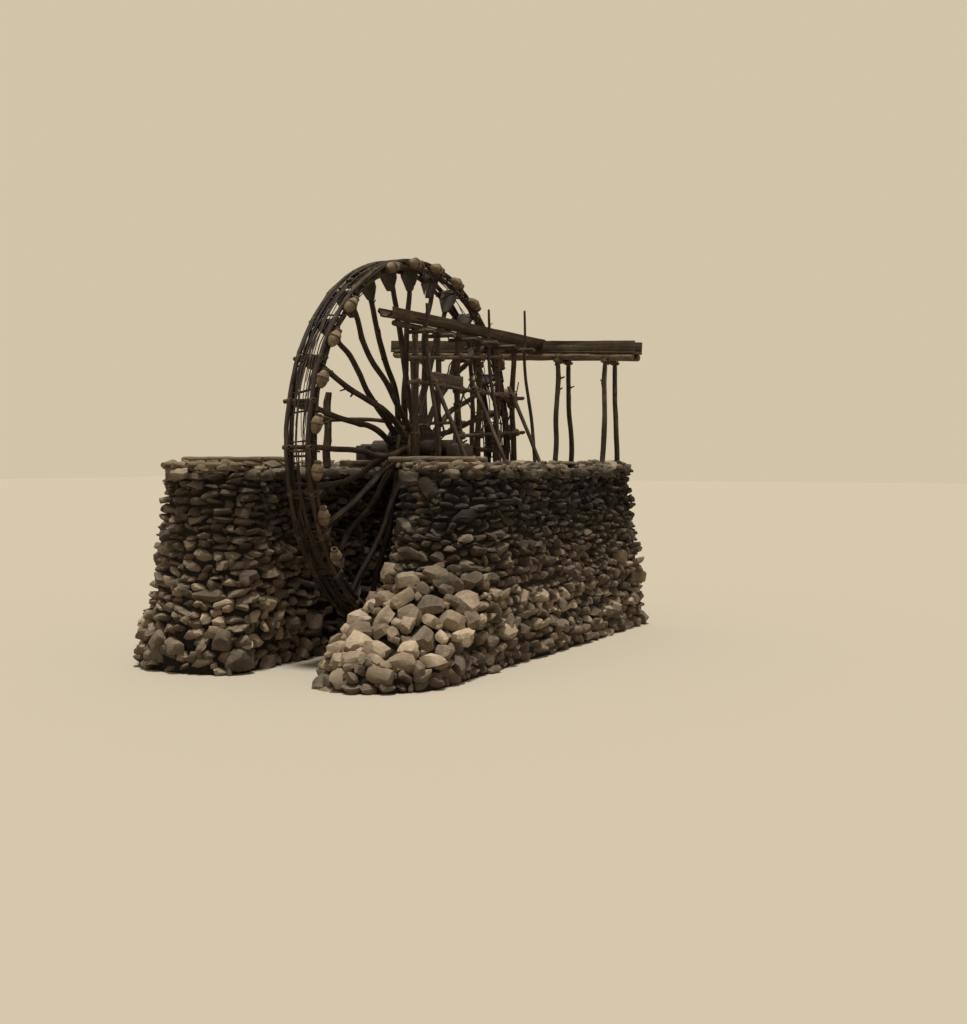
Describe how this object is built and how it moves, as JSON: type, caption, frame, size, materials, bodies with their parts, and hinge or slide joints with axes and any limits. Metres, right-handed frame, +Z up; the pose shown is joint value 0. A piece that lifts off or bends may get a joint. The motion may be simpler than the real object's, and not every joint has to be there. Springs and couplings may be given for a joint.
{
  "type": "river water wheel with clay jars, stone piers and wooden flume",
  "caption": "Undershot pole wheel on a log axle between two dry stone piers; its jars lift water into a hollow-log trough and a plank flume.",
  "frame": {"origin": "on the stream bed, straight below the middle of the wheel's axle", "axes": "+X up the stream along the race, +Y along the axle towards the left pier (away from the trough), +Z up"},
  "size_m": [8.467, 5.2956, 6.3493],
  "materials": {
    "dry_stone": "rough",
    "fired_clay": "matt",
    "trough_wood": "weathered",
    "peeled_poles": "weathered",
    "wet_wood": "wet, dark",
    "wheel_poles": "weathered bark",
    "frame_poles": "weathered bark"
  },
  "bodies": {
    "station": {"left_pier": "dry_stone", "right_pier": "dry_stone", "left_lacing": "peeled_poles", "right_lacing": "peeled_poles", "left_sill": "frame_poles", "right_sill": "frame_poles", "left_bearing": "frame_poles", "right_bearing": "frame_poles", "trough": "trough_wood", "trough_beam": "frame_poles", "trough_bearers": "frame_poles", "trough_posts": "frame_poles", "trough_props": "frame_poles", "upper_rail": "frame_poles", "mid_rail": "frame_poles", "lower_rail": "frame_poles", "trough_stays": "frame_poles", "flume_floor": "trough_wood", "flume_sides": "trough_wood", "flume_beams": "peeled_poles", "flume_bearers": "frame_poles", "left_flume_posts": "frame_poles", "right_flume_posts": "frame_poles", "left_pier_post": "frame_poles", "left_pier_rail": "frame_poles"},
    "wheel": {"axle": "wet_wood", "hub": "wet_wood", "near_spokes": "wheel_poles", "far_spokes": "wheel_poles", "rim_1": "wheel_poles", "rim_2": "wheel_poles", "rim_3": "wheel_poles", "rim_4": "wheel_poles", "rim_5": "wheel_poles", "rim_6": "wheel_poles", "rim_7": "wheel_poles", "cross_stakes": "wheel_poles", "paddles": "wet_wood", "jars": "fired_clay"}
  },
  "joints": [
    {"name": "wheel_turn", "type": "hinge", "parent": "station", "child": "wheel", "pos_m": [0, 0, 3.25], "axis": [0, 1, 0], "continuous": true}
  ]
}
